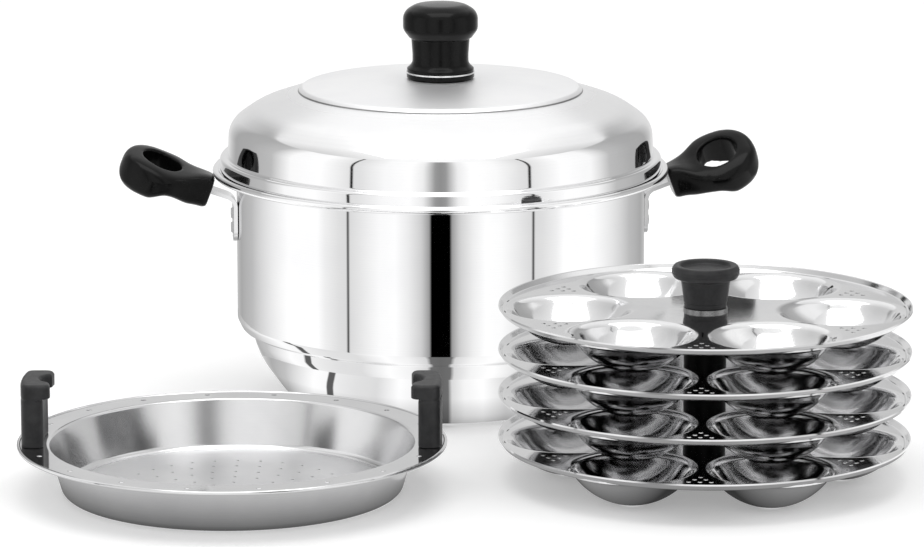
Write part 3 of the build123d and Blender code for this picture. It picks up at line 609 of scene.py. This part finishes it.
lid_outside = rounded([
    (115.1, LID_FOOT, 0), (115.1, LEDGE, 2.4), (111.1, LEDGE, 1.2), (110.2, BAND_TOP, 12),
    (97, DOME_EDGE, 36), (74.3, STEP + 0.1, 0.4), (73.9, STEP + 1.0, 0.8), (72.0, CROWN, 2.0),
    (34, LID_TOP, 60), (0, LID_TOP, 0),
], 5.0)
lid_line = lid_outside + list(reversed(inset(lid_outside, THIN_SHEET)))
lathe("lid_shell_polished", "lid_shell", lid_line, "lid", lid_steel, pot_at,
      SHELL_SEGMENTS, closed=True)

lathe("lid_knob_base_disc", "lid_knob_disc", rounded([
    (0, LID_TOP, 0), (16.6, LID_TOP, 0), (17.6, LID_TOP + 1.0, 0.4), (17.6, DISC_TOP, 0.5),
    (0, DISC_TOP, 0),
]), "lid", black_bakelite, pot_at)
lathe("lid_knob_bright_ring", "lid_knob_ring", rounded([
    (0, DISC_TOP, 0), (17.9, DISC_TOP, 0.3), (17.9, KNOB_FOOT, 0.3), (0, KNOB_FOOT, 0),
]), "lid", fitting_steel, pot_at)
lathe("lid_knob_moulding", "lid_knob", rounded([
    (0, KNOB_FOOT, 0), (17.4, KNOB_FOOT, 0.5), (17.4, KNOB_FOOT + 1.6, 0.6), (14.6, KNOB_FOOT + 4.2, 5),
    (14.6, KNOB_FOOT + 9, 12), (15.2, KNOB_FOOT + 17.2, 0.5), (16.4, KNOB_FOOT + 17.9, 0.8),
    (19.5, KNOB_FOOT + 22, 5), (19.5, KNOB_FOOT + 31, 8), (13.0, KNOB_FOOT + 35.0, 9),
    (0, KNOB_FOOT + 35.5, 0),
]), "lid", black_bakelite, pot_at)


# Tray

TRAY_TOP = 24.8
TRAY_BASE = 76.0  # radius of the flat base, which has the fine holes
TRAY_MOUTH = 91.5
TRAY_EDGE = 102.6
FLANGE_HOLES = 96.7
HOLE_RINGS = 5
HOLE_PITCH = 11.0

fine_holes = [circle(0, 0, 0.9, 10)]
for ring in range(1, HOLE_RINGS + 1):
    for k in range(6 * ring):
        angle = TURN * (k + 0.5 * (ring % 2)) / (6 * ring)
        reach = HOLE_PITCH * ring
        fine_holes.append(circle(reach * math.cos(angle), reach * math.sin(angle), 0.85, 10))
flange_holes = []
for degrees in [half + 20 * k for half in (0, 180) for k in range(1, 9)]:
    angle = math.radians(degrees)
    flange_holes.append(circle(FLANGE_HOLES * math.cos(angle), FLANGE_HOLES * math.sin(angle), 1.35, 20))

bm = bmesh.new()
add_flat(bm, circle(0, 0, TRAY_BASE, PLATE_SEGMENTS), fine_holes, THIN_SHEET)
add_lathe(bm, rounded([
    (TRAY_BASE, THIN_SHEET, 0), (81.6, THIN_SHEET, 5.0), (88.7, TRAY_TOP, 2.4), (TRAY_MOUTH, TRAY_TOP, 0),
], 6.0), PLATE_SEGMENTS)
mouth = circle(0, 0, TRAY_MOUTH, PLATE_SEGMENTS)
add_flat(bm, circle(0, 0, TRAY_EDGE, PLATE_SEGMENTS), [mouth, *flange_holes], TRAY_TOP)
curl = arc(103.4, TRAY_TOP - 0.55, 1.05, 120, -60, 8)
add_lathe(bm, [Vector((TRAY_EDGE, TRAY_TOP)), *curl], PLATE_SEGMENTS)
tray_mesh = pressing_mesh(bm, "tray_pressing", sharp=50.0)
thicken(place(tray_mesh, "tray_pressing", "steamer_tray", "tray", tray_steel, tray_at))

for side in ("right", "left"):
    softened(f"tray_grip_{side}", "tray", grey_bakelite, tray_at, 0.5)


# Idli plates

PLATE_PITCH = 21.8
PLATE_TOP = 18.2  # upper face of the lowest plate
PLATE_EDGE = 97.8
CUP_RING = 66.4
CUP_ROUND = 34.0
CUP_DEPTH = 17.4
CUP_FLAT = 6.0
CUP_BEARING = -4
VENT_RING = 76.5
VENT_ROWS = 3
VENT_ROW_PITCH = 4.7
VENT_PITCH = 5.4


def cup_line():
    """Section of one cup, from its flattened bottom up a ball-shaped wall to its rounded mouth."""
    bottom = PLATE_TOP - CUP_DEPTH
    wall = arc(0, bottom + CUP_ROUND, CUP_ROUND, -90, -34, 18)
    wall = [p for p in wall if CUP_FLAT < p.x and p.y < PLATE_TOP - 0.9]
    end = wall[-1]
    slope = math.atan2(end.y - wall[-2].y, end.x - wall[-2].x)
    tilts = [slope * (1 - k / 7) for k in range(1, 8)]
    step = (PLATE_TOP - end.y) / sum(math.sin(tilt) for tilt in tilts)
    mouth = []
    for tilt in tilts:
        end = end + step * Vector((math.cos(tilt), math.sin(tilt)))
        mouth.append(end)
    mouth[-1].y = PLATE_TOP
    return [Vector((0.0, bottom)), Vector((CUP_FLAT * 0.6, bottom + 0.02))] + wall + mouth


cups, vents = [], []
for k in range(6):
    angle = math.radians(CUP_BEARING + 60 * k)
    cups.append((CUP_RING * math.cos(angle), CUP_RING * math.sin(angle)))
    gap = math.radians(CUP_BEARING + 30 + 60 * k)
    c, s = math.cos(gap), math.sin(gap)
    for row in range(VENT_ROWS):
        for place_in_row in range(row + 1):
            out = VENT_RING + VENT_ROW_PITCH * row
            across = (place_in_row - row / 2) * VENT_PITCH
            vents.append((out * c - across * s, out * s + across * c))

cup_section = cup_line()
plate_holes = [circle(x, y, cup_section[-1].x, 72) for x, y in cups]
plate_holes += [circle(x, y, 1.15, 10) for x, y in vents]
plate_holes.append(circle(0, 0, 3.3, 24))

bm = bmesh.new()
add_flat(bm, circle(0, 0, PLATE_EDGE, PLATE_SEGMENTS), plate_holes, PLATE_TOP)
for cup in cups:
    add_lathe(bm, cup_section, 72, centre=cup)
add_lathe(bm, rounded([
    (PLATE_EDGE, PLATE_TOP, 0), (98.9, PLATE_TOP, 1.6), (100.5, PLATE_TOP + 2.5, 0.6),
    (101.0, PLATE_TOP + 2.6, 0),
], 12.0), PLATE_SEGMENTS)
plate_mesh = pressing_mesh(bm, "idli_plate_pressing")
for number in range(1, 5):
    at = stand_at + Vector((0, 0, (4 - number) * PLATE_PITCH * MM))
    node = f"idli_plate_{number}"
    thicken(place(plate_mesh, node + "_pressing", node, f"plate_{number}", plate_steel, at))


# Stand knob

SEAT = 84.9  # upper face of the washer that the knob sits on
lathe("stand_knob_moulding", "stand_knob", rounded([
    (0, SEAT, 0), (10.2, SEAT, 0.5), (10.5, SEAT + 2.0, 0.3), (10.2, SEAT + 2.4, 0.2),
    (10.6, SEAT + 2.8, 0.3), (12.2, SEAT + 13.6, 1.2), (15.6, SEAT + 14.9, 1.4), (16.6, SEAT + 17.0, 1.6),
    (16.6, SEAT + 19.0, 1.6), (15.4, SEAT + 21.0, 1.2), (12.6, SEAT + 21.0, 1.2),
    (11.4, SEAT + 18.8, 1.6), (0, SEAT + 18.4, 0),
]), "stand_knob", grey_bakelite, stand_at)


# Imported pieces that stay, with their finishes

kept = (
    (fitting_steel, (
        "pot_strap_right", "pot_strap_left", "pot_rivets", "pot_grip_screws", "lid_knob_washer",
        "lid_knob_screw", "tray_screws", "stand_rod", "stand_foot_washer", "stand_foot_nut")),
    (tube_bakelite, ("stand_spacer_1", "stand_spacer_2", "stand_spacer_3")),
    (washer_steel, ("stand_knob_washer",)),
    (brass, ("lid_knob_bush", "stand_knob_insert")),
)
for material, nodes in kept:
    for node in nodes:
        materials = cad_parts[node].data.materials
        materials.clear()
        materials.append(material)


# Floor and room

FLOOR_HALF = 7.0
FLOOR_DROP = 0.0004
FLOOR_TONE = 0.8
FLOOR_GLOW = 0.3
ROOM_TONE = 0.82

floor_mesh = bpy.data.meshes.new("floor")
floor_corners = [(x * FLOOR_HALF, y * FLOOR_HALF, 0) for x, y in ((-1, -1), (1, -1), (1, 1), (-1, 1))]
floor_mesh.from_pydata(floor_corners, [], [(0, 1, 2, 3)])
new_object(floor_mesh, "floor", (0, 0, -FLOOR_DROP))
floor_white = bpy.data.materials.new("floor_white")
floor_mesh.materials.append(floor_white)
t = Tree(floor_white, "ShaderNodeOutputMaterial")
matt = t.add("ShaderNodeBsdfDiffuse", {"Color": grey(FLOOR_TONE)})
strength = t.calc("MULTIPLY", t.sees_background(), FLOOR_GLOW)
glow = t.add("ShaderNodeEmission", {"Color": grey(1), "Strength": strength})
t.feed(t.surface, t.add("ShaderNodeAddShader", {0: matt.outputs[0], 1: glow.outputs[0]}).outputs[0])

# The room lights the scene evenly, shows white, and in the metal falls off to its sides
studio = bpy.data.worlds.new("studio")
bpy.context.scene.world = studio
t = Tree(studio, "ShaderNodeOutputWorld")
aside = t.calc("ABSOLUTE", t.split(t.add("ShaderNodeTexCoord").outputs["Generated"])["X"])
falloff = t.spread(aside, 1.08, 0.5, 0.3, 1.0)
room = t.add("ShaderNodeBackground", {"Color": grey(ROOM_TONE)}).outputs[0]
white = t.add("ShaderNodeBackground", {"Color": grey(1)}).outputs[0]
soft = t.add("ShaderNodeBackground", {"Color": grey(1), "Strength": falloff}).outputs[0]
plain = t.mix(t.sees_background(), room, white)
t.feed(t.surface, t.mix(t.add("ShaderNodeLightPath").outputs["Is Glossy Ray"], plain, soft))


# Cards round the pot, the tray and the stand

# They show only in the metal. Their shades are pairs of degrees from the front and brightness, the same
# to the left and right.
CARD_TURN = 0.25
CARD_BACK = 0.72
NEAR_RADIUS = 121.0
FAR_RADIUS = 460.0

# Heights of the flat cards, of which the pot's lies on top where they overlap
POT_CARD = 0.7
TRAY_CARD = 0.35
STAND_CARD = 0.4

# A black flag in the middle, a thin gap between two cloths, and a soft falloff to the sides
BELLY_SHADES = [
    (0, 0.0), (3.0, 0.0), (3.4, 0.35), (6, 0.7), (10, 0.95), (14, 1.12), (19, 1.08), (26, 0.86),
    (28.95, 0.78), (29.0, 0.0), (29.7, 0.0), (29.75, 0.78), (33, 0.82), (38, 0.96), (41, 1.12), (54, 1.12),
    (65, 0.88), (79, 0.55), (95, 0.42), (112, 0.6), (128, 1.05), (150, 1.05), (168, 0.75), (174, 0.2),
    (180, 0.15),
]
BOWL_SHADES = [
    (0, 0.15), (3.6, 0.17), (4.8, 0.75), (11, 1.0), (19, 1.12), (30, 0.8), (41, 0.84), (53.9, 0.95),
    (54.0, 0.12), (57.6, 0.12), (57.7, 1.05), (67, 1.1), (90, 0.58), (110, 0.45), (125, 0.7), (138, 1.0),
    (160, 1.0), (180, 0.3),
]
UNDER_BOWL_SHADES = [
    (0, 0.15), (3.0, 0.17), (4.0, 0.75), (9, 1.0), (16, 1.12), (25, 0.8), (34, 0.84), (44.9, 0.95),
    (45.0, 0.12), (48.0, 0.12), (48.1, 1.05), (56, 1.1), (78, 0.58), (95, 0.45), (112, 0.6), (128, 1.0),
    (150, 1.0), (180, 0.3),
]
LID_SHADES = [
    (0, 0.3), (2.5, 0.34), (8, 0.95), (14, 1.12), (26, 1.06), (38, 0.84), (42.05, 0.8), (42.1, 0.0),
    (42.9, 0.0), (42.95, 0.84), (60, 1.12), (78, 1.05), (92, 0.55), (112, 0.45), (132, 0.42), (150, 0.75),
    (180, 0.8),
]
UNDER_TRAY_SHADES = [(0, 0.82), (60, 0.9), (120, 0.7), (180, 0.7)]
UNDER_STAND_SHADES = [(0, 0.7), (50, 0.95), (120, 0.7), (180, 0.7)]


def card(name, start, end, shades, back=CARD_BACK, floor_shadow=None, at=(0, 0, 0)):
    """Card turned about a middle line, from one (radius, height) to another.

    Its inner or upper side has the shades, and its back has one brightness, or lets through what is
    behind it where that is None. The floor shadow is (radius, share) twice, by which the shades darken
    towards the middle: a painted shadow of the floor, seen only in the metal.
    """
    bm = bmesh.new()
    add_lathe(bm, [Vector(start), Vector(end)], 180)
    mesh = new_mesh(bm, name)
    obj = new_object(mesh, name, at)
    obj.rotation_euler.z = math.radians(CARD_TURN)
    obj.visible_camera = False
    obj.visible_diffuse = False
    obj.visible_shadow = False
    obj.visible_volume_scatter = False
    material = bpy.data.materials.new(name)
    mesh.materials.append(material)
    t = Tree(material, "ShaderNodeOutputMaterial")
    place_on_card = t.add("ShaderNodeTexCoord").outputs["Object"]
    parts = t.split(place_on_card)
    angle = t.calc("ARCTAN2", parts["X"], t.calc("MULTIPLY", parts["Y"], -1.0))
    share = t.calc("DIVIDE", t.calc("ABSOLUTE", angle), math.pi)
    shade = t.ramp(share, [(degrees / 180, grey(value)) for degrees, value in shades])
    front = t.add("ShaderNodeEmission", {"Color": shade})
    # painted shadow: the card darkens towards its middle and stands in for the floor's shade under the piece
    if floor_shadow:
        (near, near_share), (far, far_share) = floor_shadow
        painted_floor_shadow = t.spread(t.radius(place_on_card), near_share, far_share, near * MM, far * MM)
        t.feed(front.inputs["Strength"], painted_floor_shadow)
    if back is None:
        behind = t.add("ShaderNodeBsdfTransparent")
    else:
        behind = t.add("ShaderNodeEmission", {"Color": grey(back)})
    facing = t.add("ShaderNodeNewGeometry").outputs["Backfacing"]
    t.feed(t.surface, t.mix(facing, behind.outputs[0], front.outputs[0]))


card("tent_near", (NEAR_RADIUS, SEAM), (NEAR_RADIUS, RIM - 1.5), BELLY_SHADES)
card("tent_low", (NEAR_RADIUS, 0.6), (NEAR_RADIUS, SEAM), BOWL_SHADES)
# The flat cards under the pot, the tray and the stand carry a painted shadow of the floor, darker towards the
# middle
card("tent_floor", (60.0, POT_CARD), (NEAR_RADIUS, POT_CARD), UNDER_BOWL_SHADES,
     floor_shadow=((70, 0.3), (94, 1.0)))
card("tent_under_tray", (60.0, TRAY_CARD), (150.0, TRAY_CARD), UNDER_TRAY_SHADES,
     floor_shadow=((80, 0.12), (112, 0.95)), at=tray_at)
card("tent_under_stand", (0.5, STAND_CARD), (140.0, STAND_CARD), UNDER_STAND_SHADES,
     floor_shadow=((70, 0.06), (135, 0.8)), at=stand_at)
card("tent_far", (FAR_RADIUS, 1.0), (FAR_RADIUS, 480.0), LID_SHADES, back=None)


# Lamp and camera

LAMP_AT = Vector((0.0, -0.4, 2.2))
LAMP_TARGET = Vector((0.0, -0.05, 0.1))
LAMP_SIZE = (1.8, 1.4)
LAMP_POWER = 14
PHOTO_WIDTH = 924.0  # pixels
FOCAL_LENGTH = 5000.0  # pixels
SENSOR_WIDTH = 36.0
CAMERA_AT = (0.0112, -2.5684, 0.6005)
CAMERA_DOWN = 0.2061  # radians below level

lamp = bpy.data.lights.new("softbox_top", "AREA")
lamp.shape = "RECTANGLE"
lamp.size, lamp.size_y = LAMP_SIZE
lamp.energy = LAMP_POWER
softbox = new_object(lamp, "softbox_top", LAMP_AT)
softbox.rotation_mode = "QUATERNION"
softbox.rotation_quaternion = (LAMP_TARGET - LAMP_AT).to_track_quat("-Z", "Y")
softbox.visible_camera = False

lens = bpy.data.cameras.new("camera")
lens.sensor_width = SENSOR_WIDTH
lens.lens = FOCAL_LENGTH / PHOTO_WIDTH * SENSOR_WIDTH
lens.clip_start, lens.clip_end = 0.05, 40.0
camera = new_object(lens, "camera", CAMERA_AT)
camera.rotation_euler = (math.pi / 2 - CAMERA_DOWN, 0.0, 0.0)
bpy.context.scene.camera = camera

bpy.context.scene.view_settings.view_transform = "Standard"
